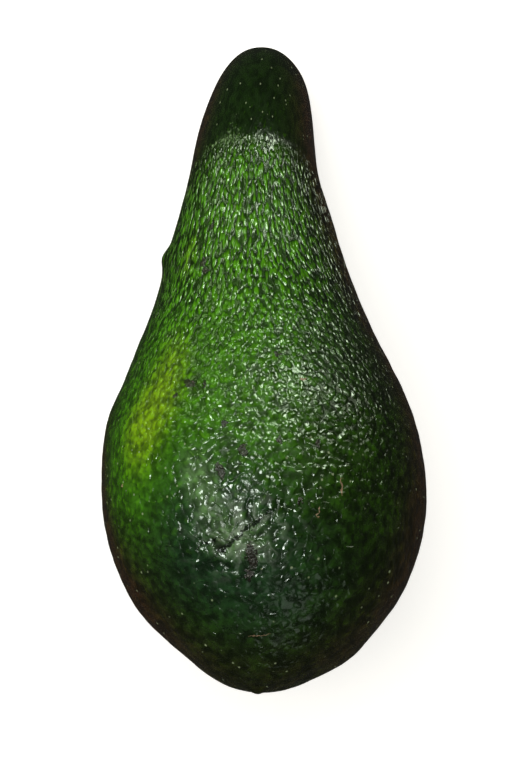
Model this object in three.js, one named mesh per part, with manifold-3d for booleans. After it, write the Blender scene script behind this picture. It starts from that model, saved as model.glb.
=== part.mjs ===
// A long-necked avocado, as picked, lying on its side.
//
// Units are millimetres and +Z is up. The fruit's length runs along Y, with its neck toward +Y. The origin lies
// on the surface that the fruit rests on, under the middle of its box.
//
// The fruit grew as one piece, so it is one solid: a pear shape on a slightly bent axis, with broad lumps, a
// pebbled rind, a blossom scar on its full end and a seat for the stem at the end of its neck. The dry stump of
// the stem is a piece of its own, which sits in that seat.
//
// A place on the rind is given by two numbers: its station, from 0 at the blossom end to 1 at the neck's end, and
// its bearing round the axis, from 0 on the right-hand side (+X) through a quarter turn on top.

import * as THREE from 'three';
import { mergeVertices } from 'three/addons/utils/BufferGeometryUtils.js';
import Module from 'manifold-3d';

// ---- Driving dimensions ----------------------------------------------------------------------------------

// Body. FULLNESS holds the radii of the dome that the fruit follows at equal steps of station: the radius at a
// station is its fullness times 2 sqrt(station (1 - station)), so both ends close in a round cap by themselves.
const LENGTH = 150;
const FULLNESS = [34.1, 40.2, 39.3, 35.6, 28.9, 22.8, 19.2, 17.2, 19.1, 24.0];
const SIDE_BEND = [0.3, 1.4, 0.8, -0.4, -1.4, -1.0, 1.3];
const NECK_DROOP = 4;
const NECK_DROOP_FROM = 0.72;

// Rest. At this pitch the belly and the neck touch the surface together, and both are pressed a little flat.
const REST_PITCH = THREE.MathUtils.degToRad(13.4);
const FLAT_DEPTH = 1.0;

// Broad lumps: waves from end to end, waves round the axis, phase in turns, height.
const LUMPS = [
  [1.6, 2, 0.10, 0.15],
  [2.7, -3, 0.55, 0.13],
  [4.1, 5, 0.30, 0.11],
  [6.5, -4, 0.80, 0.09],
];

// Single swellings and hollows: station, bearing in degrees, height, reach.
const WART = [0.632, 169, 1.0, 2.4];
const SWELLINGS = [
  [0.985, 150, 0.45, 5],
  [0.671, 160, -0.5, 6],
  [0.586, 162, -0.45, 3.5],
  [0.389, 168, 0.45, 7],
  [0.320, 166, -0.35, 7],
  [0.113, 186, 0.35, 7],
  [0.048, 180, -0.45, 6],
  [0.022, 5, -0.35, 5],
  [0.063, 347, 0.5, 6],
  [0.100, 2, -0.55, 6],
];

// Blossom scar: a small nub in a shallow saucer.
const NUB_HEIGHT = 0.9;
const NUB_REACH = 1.7;
const SAUCER_DEPTH = 0.5;
const SAUCER_REACH = 5.0;

// Pebbles of the rind. They stand on a three-cornered grid of COLUMNS by ROWS points, larger than life, each a
// top with six points on its brow and its share of the furrows round it. RELIEF is the height of the tops over
// the furrows at equal steps of station. BROW is the brow's share of that height, and SUNK is the share of it
// that lies under the smooth body. SCATTER is how far a point strays, in grid steps, and UNEVEN how far its
// height does. Where the fruit's radius is less than ROOM, toward its ends, the pebbles fade out.
const COLUMNS = 72;
const ROWS = 72;
const RELIEF = [0.3, 0.7, 0.85, 0.9, 0.9, 0.85, 0.8, 0.7, 0.6];
const BROW = 0.62;
const SUNK = 0.7;
const SCATTER = 0.2;
const UNEVEN = 0.35;
const ROOM = 11;
const SEED = 11;

// Stem. Its seat is bored square to the rind just under the neck's end, in the bottom of a shallow hollow, and
// the stump stands out of the hollow. Heights are over the smooth body.
const STEM_STATION = 0.9985;
const STEM_BEARING_DEGREES = 270;
const STEM_HOLLOW_DEPTH = 0.8;
const STEM_HOLLOW_REACH = 5.5;
const STUMP_RADIUS = 2.6;
const STUMP_TOP = 0.25;
const STUMP_LOBES = 5;
const STUMP_LOBE_HEIGHT = 0.12;
const SEAT_FLOOR = -2.6;
const SEAT_FLARE = 0.4;
const GAP = 0.35;

const RIND_COLOUR = '#2f5a1e';
const STUMP_COLOUR = '#5a4330';

// ---- Body ------------------------------------------------------------------------------------------------

// Smooth curve through values at equal steps, as a function of the share of the way along them.
function through(values) {
  const points = values.map((value) => new THREE.Vector3(value, 0, 0));
  const curve = new THREE.CatmullRomCurve3(points, false, 'catmullrom', 0.5);
  return (share) => curve.getPoint(THREE.MathUtils.clamp(share, 0, 1)).x;
}

const fullness = through(FULLNESS);
const sideBend = through(SIDE_BEND);
const relief = through(RELIEF);

function axisPoint(station) {
  const along = (station - NECK_DROOP_FROM) / (1 - NECK_DROOP_FROM);
  const droop = NECK_DROOP * THREE.MathUtils.clamp(along, 0, 1) ** 2;
  return new THREE.Vector3(sideBend(station), station * LENGTH, -droop);
}

// The dome's angle is 0 at the neck's end and half a turn at the blossom end.
function radiusAt(angle) {
  return Math.sin(angle) * fullness((1 + Math.cos(angle)) / 2);
}

// Point and outward direction of the smooth body.
function bodyAt(station, bearing) {
  const step = 0.002;
  const ahead = axisPoint(Math.min(station + step, 1));
  const tangent = ahead.sub(axisPoint(Math.max(station - step, 0))).normalize();
  const right = new THREE.Vector3().crossVectors(tangent, new THREE.Vector3(0, 0, 1)).normalize();
  const up = new THREE.Vector3().crossVectors(right, tangent);
  const spoke = right.multiplyScalar(Math.cos(bearing)).addScaledVector(up, Math.sin(bearing));

  const angle = Math.acos(THREE.MathUtils.clamp(2 * station - 1, -1, 1));
  const widening = (radiusAt(angle + step) - radiusAt(angle - step)) / (2 * step);
  const outward = spoke.clone().multiplyScalar((Math.sin(angle) * LENGTH) / 2);
  outward.addScaledVector(tangent, widening).normalize();

  const point = axisPoint(station).addScaledVector(spoke, radiusAt(angle));
  return { point, outward };
}

// ---- Relief of the rind ----------------------------------------------------------------------------------

// A round swelling or hollow that fades out with distance from its own centre.
function spot([station, degrees, height, reach]) {
  const centre = bodyAt(station, THREE.MathUtils.degToRad(degrees)).point;
  return (point) => height * Math.exp(-((point.distanceTo(centre) / reach) ** 2));
}

const stemPlace = bodyAt(STEM_STATION, THREE.MathUtils.degToRad(STEM_BEARING_DEGREES));

const SPOTS = [
  WART,
  ...SWELLINGS,
  [0, 0, NUB_HEIGHT, NUB_REACH],
  [0, 0, -SAUCER_DEPTH, SAUCER_REACH],
  [STEM_STATION, STEM_BEARING_DEGREES, -STEM_HOLLOW_DEPTH, STEM_HOLLOW_REACH],
].map(spot);

function lumpsAt(station, bearing) {
  const fade = 2 * Math.sqrt(station * (1 - station));
  const heights = LUMPS.map(([along, around, phase, height]) => {
    const wave = 2 * Math.PI * (along * station + phase) + around * bearing;
    return height * Math.sin(wave);
  });
  return fade * heights.reduce((sum, height) => sum + height, 0);
}

// Chance draws for each point of the grid: how far it strays along and round, and how its pebble differs.
function drawScatter() {
  THREE.MathUtils.seededRandom(SEED);
  const draw = () => 2 * THREE.MathUtils.seededRandom() - 1;
  const cells = Array.from({ length: (ROWS + 1) * COLUMNS }, () => [draw(), draw(), draw()]);
  return (row, column) => cells[row * COLUMNS + column];
}

const scatter = drawScatter();

// Share of the relief at a point of the grid, where every third point of every third row is a top.
function pebbleShare(row, column) {
  const [down, across] = [row % 3, column % 3];
  if (down === 0 && across === 0) {
    return 1;
  }
  return down + across === 3 ? 0 : BROW;
}

// Point of the pebbled rind on the grid. Row 0 is the neck's end. Each row is shifted half a column against the
// one before, so that the points make near-equal triangles.
function rindPoint(row, column) {
  const isEnd = row === 0 || row === ROWS;
  const [strayAlong, strayRound, oddness] = isEnd ? [0, 0, 0] : scatter(row, column);
  const angle = (Math.PI * (row + SCATTER * strayAlong)) / ROWS;
  const turn = (column - row / 2 + SCATTER * strayRound) / COLUMNS;
  const station = (1 + Math.cos(angle)) / 2;
  const bearing = isEnd ? 0 : Math.PI - 2 * Math.PI * turn;

  const { point, outward } = bodyAt(station, bearing);
  const swelling = SPOTS.reduce((sum, height) => sum + height(point), lumpsAt(station, bearing));
  const room = Math.min(radiusAt(angle) / ROOM, 1) ** 2;
  const share = pebbleShare(row, column) * (1 + UNEVEN * oddness) - SUNK;
  return point.addScaledVector(outward, swelling + relief(station) * room * share);
}

function rindGeometry() {
  const grid = new THREE.SphereGeometry(1, COLUMNS, ROWS);
  grid.deleteAttribute('normal');
  grid.deleteAttribute('uv');
  const position = grid.getAttribute('position');
  for (let index = 0; index < position.count; index += 1) {
    const row = Math.floor(index / (COLUMNS + 1));
    const column = (index % (COLUMNS + 1)) % COLUMNS;
    position.setXYZ(index, ...rindPoint(row, column).toArray());
  }
  return mergeVertices(grid);
}

// ---- Stem ------------------------------------------------------------------------------------------------

// Solid of revolution about +Y from a profile of [radius, height] pairs that starts and ends on the axis.
function turned(profile, segments) {
  const points = profile.map(([radius, height]) => new THREE.Vector2(radius, height));
  const solid = new THREE.LatheGeometry(points, segments);
  solid.deleteAttribute('normal');
  solid.deleteAttribute('uv');
  return mergeVertices(solid);
}

// Tool that bores the seat.
function seatCutter() {
  const radius = STUMP_RADIUS + STUMP_LOBE_HEIGHT + GAP;
  const clear = 6;
  return turned([
    [0, SEAT_FLOOR],
    [radius, SEAT_FLOOR],
    [radius, -STEM_HOLLOW_DEPTH - SEAT_FLARE],
    [radius + SEAT_FLARE, -STEM_HOLLOW_DEPTH],
    [radius + SEAT_FLARE, clear],
    [0, clear],
  ], 36);
}

// Dry stump with a cupped, cracked top and a lobed outline.
function stumpGeometry() {
  const foot = SEAT_FLOOR + GAP;
  const top = STUMP_TOP;
  const stump = turned([
    [0, foot],
    [STUMP_RADIUS - 0.5, foot],
    [STUMP_RADIUS - 0.15, foot + 0.5],
    [STUMP_RADIUS, top - 0.8],
    [STUMP_RADIUS - 0.2, top - 0.3],
    [STUMP_RADIUS - 0.6, top],
    [STUMP_RADIUS - 1.2, top - 0.15],
    [0.8, top - 0.5],
    [0.4, top - 0.35],
    [0, top - 0.3],
  ], 40);
  const position = stump.getAttribute('position');
  for (let index = 0; index < position.count; index += 1) {
    const [x, y, z] = [position.getX(index), position.getY(index), position.getZ(index)];
    const lobe = STUMP_LOBE_HEIGHT * Math.cos(STUMP_LOBES * Math.atan2(z, x));
    const swell = 1 + (lobe * Math.hypot(x, z)) / STUMP_RADIUS ** 2;
    position.setXYZ(index, x * swell, y, z * swell);
  }
  return stump;
}

// ---- Solids ----------------------------------------------------------------------------------------------

const wasm = await Module();
wasm.setup();

function toSolid(geometry) {
  const vertProperties = new Float32Array(geometry.getAttribute('position').array);
  const triVerts = new Uint32Array(geometry.index.array);
  return new wasm.Manifold(new wasm.Mesh({ numProp: 3, vertProperties, triVerts }));
}

function toGeometry(solid) {
  const mesh = solid.getMesh();
  const geometry = new THREE.BufferGeometry();
  geometry.setAttribute('position', new THREE.BufferAttribute(mesh.vertProperties, mesh.numProp));
  geometry.setIndex(new THREE.BufferAttribute(mesh.triVerts, 1));
  return geometry;
}

// ---- Rest ------------------------------------------------------------------------------------------------

const lying = new THREE.Matrix4().makeRotationX(-REST_PITCH);

// Height of the smooth body's lowest point once the fruit lies at its pitch.
function lowestPoint() {
  let lowest = Infinity;
  for (let station = 0; station <= 1; station += 0.002) {
    for (let degrees = 240; degrees <= 300; degrees += 1) {
      const { point } = bodyAt(station, THREE.MathUtils.degToRad(degrees));
      lowest = Math.min(lowest, point.applyMatrix4(lying).z);
    }
  }
  return lowest;
}

// Whatever would sink below the surface is pressed flat on it.
function pressFlat(geometry) {
  const position = geometry.getAttribute('position');
  for (let index = 0; index < position.count; index += 1) {
    position.setZ(index, Math.max(position.getZ(index), 0));
  }
  return geometry;
}

lying.premultiply(new THREE.Matrix4().makeTranslation(0, 0, -FLAT_DEPTH - lowestPoint()));

// ---- Pieces ----------------------------------------------------------------------------------------------

const stemTurn = new THREE.Quaternion().setFromUnitVectors(new THREE.Vector3(0, 1, 0), stemPlace.outward);
const stemPose = new THREE.Matrix4().compose(stemPlace.point, stemTurn, new THREE.Vector3(1, 1, 1));

const boredRind = toSolid(rindGeometry()).subtract(toSolid(seatCutter().applyMatrix4(stemPose)));

const fruit = new THREE.Mesh(
  pressFlat(toGeometry(boredRind).applyMatrix4(lying)),
  new THREE.MeshStandardMaterial({ color: RIND_COLOUR, roughness: 0.38, metalness: 0 }),
);
fruit.name = 'fruit';

const stemButton = new THREE.Mesh(
  stumpGeometry(),
  new THREE.MeshStandardMaterial({ color: STUMP_COLOUR, roughness: 0.9, metalness: 0 }),
);
stemButton.name = 'stem_button';
stemButton.applyMatrix4(stemPose);
stemButton.applyMatrix4(lying);

const avocado = new THREE.Group();
avocado.add(fruit, stemButton);

const box = new THREE.Box3().setFromObject(avocado);
avocado.position.set(-(box.min.x + box.max.x) / 2, -(box.min.y + box.max.y) / 2, 0);

export default avocado;
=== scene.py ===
"""The looks of a long-necked avocado: its pebbled rind and the dry stump of its stem, on a plain stage.

The rind is one closed skin. It follows the same pear shape as the CAD solid, which it replaces. Its mesh
carries groups of pebbles, and its material's bump carries each one at its true size. A place on it is given
by two numbers, as in the CAD: its station, from 0 at the blossom end to 1 at the neck's end, and its bearing
round the axis, from 0 on the right-hand side (+X) through a quarter turn on top. Shape values are in
millimetres unless they say otherwise, and Blender works in metres.
"""

import functools
import math

import bpy
import numpy as np
from bpy.props import FloatProperty, FloatVectorProperty, IntProperty, PointerProperty
from mathutils import Matrix, Vector, noise


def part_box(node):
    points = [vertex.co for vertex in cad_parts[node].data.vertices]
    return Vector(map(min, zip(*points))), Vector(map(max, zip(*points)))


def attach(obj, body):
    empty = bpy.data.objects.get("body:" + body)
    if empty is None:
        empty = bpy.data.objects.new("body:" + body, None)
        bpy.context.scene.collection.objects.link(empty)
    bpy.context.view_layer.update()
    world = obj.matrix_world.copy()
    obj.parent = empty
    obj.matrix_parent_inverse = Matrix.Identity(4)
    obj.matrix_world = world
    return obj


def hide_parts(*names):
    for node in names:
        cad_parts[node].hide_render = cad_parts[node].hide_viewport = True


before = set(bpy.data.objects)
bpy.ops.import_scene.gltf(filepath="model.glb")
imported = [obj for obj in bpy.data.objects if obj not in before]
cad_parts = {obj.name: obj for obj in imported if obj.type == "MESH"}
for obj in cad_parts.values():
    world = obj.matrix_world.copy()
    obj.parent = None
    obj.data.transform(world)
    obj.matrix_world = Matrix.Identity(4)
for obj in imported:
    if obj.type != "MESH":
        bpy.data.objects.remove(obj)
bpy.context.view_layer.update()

bl_info = {
    "name": "Long-Necked Avocado",
    "version": (1, 0, 0),
    "blender": (4, 5, 0),
    "location": "3D View > Sidebar > Avocado",
    "description": "Makes the rind and the stem stump of an avocado, and a stage to see them on",
    "category": "Object",
}

MM = 0.001
PIECE_BODY = "root"

# ---- Shape of the fruit, as in the CAD ---------------------------------------------------------------------

LENGTH = 150
FULLNESS = [34.1, 40.2, 39.3, 35.6, 28.9, 22.8, 19.2, 17.2, 19.1, 24.0]
SIDE_BEND = [0.3, 1.4, 0.8, -0.4, -1.4, -1.0, 1.3]
NECK_DROOP = 4
NECK_DROOP_FROM = 0.72
REST_PITCH = math.radians(13.4)
FLAT_DEPTH = 1.0

# Broad lumps: waves from end to end, waves round the axis, phase in turns, height.
LUMPS = [
    (1.6, 2, 0.10, 0.15),
    (2.7, -3, 0.55, 0.13),
    (4.1, 5, 0.30, 0.11),
    (6.5, -4, 0.80, 0.09),
]

# Single swellings and hollows: station, bearing in degrees, height, reach. The first is a wart, and the last
# two make the blossom scar, a nub in a shallow saucer.
SWELLINGS = [
    (0.632, 169, 1.0, 2.4),
    (0.985, 150, 0.45, 5),
    (0.671, 160, -0.5, 6),
    (0.586, 162, -0.45, 3.5),
    (0.389, 168, 0.45, 7),
    (0.320, 166, -0.35, 7),
    (0.113, 186, 0.35, 7),
    (0.048, 180, -0.45, 6),
    (0.022, 5, -0.35, 5),
    (0.063, 347, 0.5, 6),
    (0.100, 2, -0.55, 6),
    (0, 0, 0.9, 1.7),
    (0, 0, -0.5, 5.0),
]

# Stem: its place, the hollow round it, and the seat that the stump stands in, as pairs of radius and height
# over the smooth body from the middle of the seat's floor to its lip.
STEM_STATION = 0.9985
STEM_BEARING = 270
STEM_HOLLOW = (STEM_STATION, STEM_BEARING, -0.8, 5.5)
SEAT_PROFILE = [
    (0.0, -2.6), (1.0, -2.6), (2.0, -2.6), (2.75, -2.58), (2.98, -2.45), (3.05, -2.15),
    (3.07, -1.8), (3.10, -1.55), (3.18, -1.38), (3.30, -1.30), (3.45, -1.30),
]
SEAT_TURN = 24.0  # radius of the neck's round end, where a step of angle is this much arc
SEAT_MARGIN = 1.03  # the skin's own rings begin past the lip, at this multiple of its radius

# ---- Skin --------------------------------------------------------------------------------------------------

SEGMENTS = 312
RINGS = 300

# Steps in which curves are measured: the skin's profile, the count of pebbles along it, and the belly.
PROFILE_STEPS = 4000
STATION_STEPS = 2000
BELLY_STEPS = 500

# Pebbles: their spacing round and along the fruit, and their height over the furrows, at equal steps of
# station. They come in over the first rings past the stem's seat.
PITCH_ROUND = [1.5, 1.5, 1.4, 1.15, 0.88, 0.72, 0.65, 0.65, 0.95, 1.3]
PITCH_ALONG = [1.7, 1.7, 1.65, 1.5, 1.5, 2.4, 3.6, 4.0, 3.0, 1.7]
RELIEF = [0.10, 0.11, 0.115, 0.12, 0.13, 0.15, 0.15, 0.15, 0.05, 0.04]
SEAT_FADE_RINGS = 8

# The neck's dark end: the station where it begins, the share of their height that its pebbles lose, the
# strengths of its colour between which they lose it, and the slope by which the bump alone nods the end, with
# the length over which that slope comes in.
TIP_START = 0.79
TIP_SMOOTHNESS = 0.85
TIP_SMOOTH_FROM = 0.25
TIP_SMOOTH_TO = 0.75
TIP_NOD = 0.19
TIP_NOD_EASE = 1.5


def through(values):
    """Smooth curve through values at equal steps, as a function of the share of the way along them."""
    knots = np.array([2 * values[0] - values[1], *values, 2 * values[-1] - values[-2]], float)
    steps = len(values) - 1

    def at(share):
        place = np.clip(share, 0, 1) * steps
        index = np.minimum(np.floor(place).astype(int), steps - 1)
        t = place - index
        before, start, end, after = (knots[index + offset] for offset in range(4))
        leave, arrive = (end - before) / 2, (after - start) / 2
        cubic = (2 * start - 2 * end + leave + arrive) * t**3
        square = (3 * end - 3 * start - 2 * leave - arrive) * t**2
        return cubic + square + leave * t + start

    return at


fullness = through(FULLNESS)
side_bend = through(SIDE_BEND)


def unit(vectors):
    return vectors / np.linalg.norm(vectors, axis=-1, keepdims=True)


def axis_point(station):
    along = (station - NECK_DROOP_FROM) / (1 - NECK_DROOP_FROM)
    droop = NECK_DROOP * np.clip(along, 0, 1) ** 2
    return np.stack([side_bend(station), station * LENGTH, -droop], axis=-1)


def radius_at(angle):
    """Radius of the smooth body, where the dome's angle is 0 at the neck's end, half a turn at the other."""
    return np.sin(angle) * fullness((1 + np.cos(angle)) / 2)


def body_at(station, bearing):
    """Points of the smooth body, their outward directions, and the directions along and round it."""
    step = 0.002
    ahead, behind = np.minimum(station + step, 1), np.maximum(station - step, 0)
    tangent = unit(axis_point(ahead) - axis_point(behind))
    right = unit(np.cross(tangent, [0, 0, 1]))
    up = np.cross(right, tangent)
    cosine, sine = np.cos(bearing)[..., None], np.sin(bearing)[..., None]
    spoke = right * cosine + up * sine
    angle = np.arccos(np.clip(2 * station - 1, -1, 1))
    widening = (radius_at(angle + step) - radius_at(angle - step)) / (2 * step)
    outward = unit(spoke * (np.sin(angle) * LENGTH / 2)[..., None] + tangent * widening[..., None])
    around = up * cosine - right * sine
    point = axis_point(station) + spoke * radius_at(angle)[..., None]
    return point, outward, np.cross(around, outward), around


def place_at(station, degrees):
    """One place of the smooth body: its point, outward, along and round directions."""
    found = body_at(np.array([float(station)]), np.array([math.radians(degrees)]))
    return [vectors[0] for vectors in found]


def swelling_at(point, station, bearing):
    """Height of the broad lumps, which fade out at both ends, and the swellings and hollows over the smooth
    body."""
    height = np.zeros(station.shape)
    for along, around, phase, crest in LUMPS:
        height += crest * np.sin(2 * math.pi * (along * station + phase) + around * bearing)
    height *= 2 * np.sqrt(np.clip(station * (1 - station), 0, None))
    for where, degrees, crest, reach in [*SWELLINGS, STEM_HOLLOW]:
        centre = place_at(where, degrees)[0]
        height += crest * np.exp(-(np.linalg.norm(point - centre, axis=-1) / reach) ** 2)
    return height


def lying_pose():
    """Turn and lift that lay the fruit on its belly and neck, whose lowest points are near bearing 270."""
    turn = np.array(Matrix.Rotation(-REST_PITCH, 3, "X"))
    stations = np.linspace(0, 1, BELLY_STEPS + 1)
    station, degrees = np.meshgrid(stations, np.arange(240, 301), indexing="ij")
    lowest = (body_at(station, np.radians(degrees))[0] @ turn.T)[..., 2].min()
    return turn, -FLAT_DEPTH - lowest


# ---- Marks on the rind -------------------------------------------------------------------------------------

# Broad fields of colour: each mark is a station, a bearing in degrees, its reach along and round the fruit,
# its lean in degrees and its strength. A field is the sum of its marks, and is kept on the skin's points.
FIELDS = {
    # Green that grew in the light, against the near-black green of the shaded side. The field is also painted
    # light and shade: it lights the rind on the left and along the top, and leaves the right side darker.
    "sunlit_and_painted_light": [
        (0.66, 114, 20, 12, 0, 0.85),
        (0.72, 75, 22, 10, 0, 0.25),
        (0.55, 115, 24, 13, 0, 0.85),
        (0.40, 127, 22, 17, 0, 0.85),
        (0.30, 131, 14, 17, 0, 0.55),
        (0.23, 138, 10, 14, 0, 0.45),
        (0.25, 94, 8, 8, 0, 0.3),
        (0.44, 86, 30, 13, 0, 0.42),
        (0.24, 86, 16, 19, 0, 0.27),
        (0.60, 74, 26, 9, 0, 0.45),
    ],
    "yellowed": [
        (0.335, 132, 11, 6.5, -20, 1.0),
        (0.43, 127, 9, 5, 0, 0.35),
        (0.60, 132, 8, 3, 0, 0.4),
    ],
    # Painted shade: dark brown rims and underside, where the sides turn down away from the light.
    "rim_shade": [
        (0.88, 8, 22, 6.5, 0, 0.8),
        (0.60, 14, 40, 8.5, 0, 0.8),
        (0.25, 8, 50, 14, 0, 0.8),
        (0.88, 165, 20, 5, 0, 0.6),
        (0.16, 175, 24, 11, 0, 0.6),
        (0.32, 173, 26, 6, 0, 0.5),
    ],
    # Near-black of the neck's end: partly its own colour, partly painted shade where the end turns away from
    # the light.
    "tipped": [
        (0.97, 90, 19, 60, 0, 1.5),
        (0.86, 60, 8, 30, 0, 0.5),
        (0.835, 145, 7, 8, 0, 0.5),
        (0.835, 40, 8, 8, 0, 0.7),
        (0.82, 88, 5, 14, 0, 0.6),
    ],
    "blued": [
        (0.19, 108, 14, 15, 0, 0.8),
        (0.10, 96, 14, 18, 0, 0.6),
        (0.40, 66, 26, 8, 0, 0.3),
    ],
    "waxed": [
        (0.224, 112, 7, 3.6, 15, 1.0),
        (0.155, 100, 5, 7, 0, 0.7),
        (0.30, 90, 8, 8, 0, 0.2),
    ],
    "wrinkled": [
        (0.158, 98, 6, 8, 20, 1.0),
        (0.33, 86, 12, 10, 0, 0.15),
    ],
}


def leaning(along, around, degrees):
    """Directions down and across a mark that leans from lying along the fruit."""
    cosine, sine = math.cos(math.radians(degrees)), math.sin(math.radians(degrees))
    return along * cosine + around * sine, around * cosine - along * sine


def field_of(marks, point):
    """Strength of a field of colour at points of the smooth body."""
    total = np.zeros(point.shape[:-1])
    for station, degrees, reach_along, reach_round, lean, strength in marks:
        centre, outward, along, around = place_at(station, degrees)
        down_axis, across_axis = leaning(along, around, lean)
        offset = point - centre
        length = ((offset @ down_axis) / reach_along) ** 2
        width = ((offset @ across_axis) / reach_round) ** 2
        depth = ((offset @ outward) / (reach_along + reach_round)) ** 2
        total += strength * np.exp(-(length + width + depth))
    return total


# Small marks that the material draws: station, bearing in degrees, half-length, half-width, lean in degrees.
CORK_SPOTS = [
    (0.368, 116, 1.6, 0.8, 60),
    (0.362, 110, 0.9, 0.7, 0),
    (0.355, 121, 0.7, 0.5, 0),
    (0.300, 103, 0.8, 0.6, 0),
    (0.238, 105, 1.6, 0.8, 15),
    (0.262, 97, 1.3, 0.9, 0),
    (0.274, 85, 0.7, 0.6, 0),
    (0.274, 72, 0.8, 0.5, 0),
    (0.199, 78, 0.8, 0.6, 0),
    (0.577, 120, 1.6, 0.6, 0),
    (0.561, 118, 0.8, 0.6, 0),
    (0.640, 118, 1.7, 0.5, 0),
    (0.400, 84, 0.6, 0.6, 0),
    (0.132, 95, 2.6, 1.0, 10),
    (0.112, 96, 1.4, 0.8, 0),
    (0.700, 232, 1.2, 0.6, 0),
    (0.350, 205, 0.9, 0.7, 0),
    (0.300, 330, 1.3, 0.7, 30),
    (0.480, 300, 0.8, 0.6, 0),
]
SCARS = [
    (0.222, 63, 1.6, 0.35, 8),
    (0.049, 90, 2.4, 0.12, -75),
    (0.187, 71, 1.0, 0.2, 0),
    (0.362, 76, 0.5, 0.5, 0),
    (0.250, 147, 0.35, 0.3, 0),
    (0.450, 250, 1.8, 0.35, 30),
]
CREASES = [
    (0.158, 98.5, 7.4, 0.38, -52),
    (0.150, 112, 3.0, 0.22, -70),
]
STAINS = [
    (0.150, 107, 2.4, 1.8, 0),
    (0.245, 100, 2.6, 1.6, 0),
    (0.270, 102, 3.4, 1.8, 0),
    (0.365, 114, 3.0, 1.6, 0),
]

# ---- Materials ---------------------------------------------------------------------------------------------

MATH = "ShaderNodeMath"
VECTOR = "ShaderNodeVectorMath"
MIX = "ShaderNodeMix"
NOISE = "ShaderNodeTexNoise"
CELLS = "ShaderNodeTexVoronoi"
SPREAD = "ShaderNodeMapRange"
SHADER = "ShaderNodeBsdfPrincipled"
OUTPUT = "ShaderNodeOutputMaterial"
TIMES = {"operation": "MULTIPLY"}
TIMES_PLUS = {"operation": "MULTIPLY_ADD"}
MINUS = {"operation": "SUBTRACT"}
TINT = {"data_type": "RGBA"}
EASED = {"interpolation_type": "SMOOTHSTEP"}
RIDGED = {"noise_type": "RIDGED_MULTIFRACTAL"}

# Sizes of patterns in millimetres. The skin's own grain and the flakes of cork are under 0.1 mm and wouldn't
# show, so both are drawn as coarse as GRAIN_SIZE.
DRIFT_SIZE = 9.0
TORN_EDGE_SIZE = 0.9
TORN_EDGE_REACH = 2.2
GRAIN_SIZE = 0.38

# Patterns that follow the pebbles: how many of each there are to one pebble's spacing, which PITCH_ROUND and
# PITCH_ALONG give in millimetres.
SWAYS = 0.55
GROUPS = 0.4
FOLDS = 0.62
MOTTLES = 0.7
PORES = 0.5
FINE_FOLDS = 1.7
CURLS = 0.34

# How far the sways push the rows of pebbles, in pebble spacings, and how steeply a pebble falls to the furrow
# round it.
SWAY_REACH = 0.8
DOME_FALL = 2.6

# Heights in millimetres of what only the bump carries.
GRAIN_RISE = 0.004
CURL_RISE = 0.45
CORK_RISE = 0.3
CREASE_DEPTH = 0.22

# Relief in millimetres up to which the skin is softly folded, and from which it is clearly pebbled. Soft skin
# has more folds, and its lightness is even.
SOFT_RELIEF = 0.10
PEBBLY_RELIEF = 0.15
MORE_FOLDS_WHERE_SOFT = 0.15
SOFT_LIGHT = 0.87

# Stem wood: how its noise is squeezed into rings and rays, by radius, turn and height, and its fibres' height
# in millimetres. Rings and rays are about 0.3 mm wide, which is coarser than a twig's, so that they show.
WOOD_RINGS = (9.0, 1.0, 1.0)
WOOD_RAYS = (1.5, 9.0, 2.0)
FIBRE_HEIGHT = 0.12


def linear(colour):
    """Linear RGBA of an sRGB hex colour."""
    channels = [int(colour[i : i + 2], 16) / 255 for i in (1, 3, 5)]
    curved = [c / 12.92 if c <= 0.04045 else ((c + 0.055) / 1.055) ** 2.4 for c in channels]
    return (*curved, 1.0)


def add(tree, kind, settings=None, inputs=None):
    """Adds a node, sets it up, and fills its inputs: a node or socket is linked, anything else is a value."""
    node = tree.nodes.new(kind)
    for name, value in (settings or {}).items():
        setattr(node, name, value)
    for key, value in (inputs or {}).items():
        live = {s.name: s for s in reversed(node.inputs) if s.enabled}
        socket = node.inputs[key] if isinstance(key, int) else live[key]
        if isinstance(value, bpy.types.Node):
            value = next(s for s in value.outputs if s.enabled)
        if isinstance(value, bpy.types.NodeSocket):
            tree.links.new(value, socket)
        else:
            socket.default_value = value
    return node


def new_material(name):
    """An empty material and its tree of nodes."""
    material = bpy.data.materials.new(name)
    material.use_nodes = True
    material.node_tree.nodes.clear()
    return material, material.node_tree


def domes(tree, place, scale):
    """Height of round-topped cells, from 0 in the furrows between them to 1 on their tops.

    The scale is in cells to the unit.
    """
    cells = add(tree, CELLS, {"feature": "SMOOTH_F1"}, {"Vector": place, "Scale": scale, "Smoothness": 0.35})
    away = cells.outputs["Distance"]
    fall = add(tree, MATH, TIMES, {0: away, 1: away})
    return add(tree, MATH, {**TIMES_PLUS, "use_clamp": True}, {0: fall, 1: -DOME_FALL, 2: 1.0})


def swayed(tree, place, scale, detail, reach):
    """A place pushed about a little by a noise, by at most half the reach each way."""
    sway = add(tree, NOISE, None, {"Vector": place, "Scale": scale, "Detail": detail}).outputs["Color"]
    centred = add(tree, VECTOR, MINUS, {0: sway, 1: (0.5, 0.5, 0.5)})
    return add(tree, VECTOR, TIMES_PLUS, {0: centred, 1: (reach,) * 3, 2: place})


def swell(tree, skin):
    """Groups of pebbles that stand up together, from 0 to 1. They are wide enough for the skin's points."""
    return domes(tree, swayed(tree, skin, SWAYS, 1.0, SWAY_REACH), GROUPS)


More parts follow.
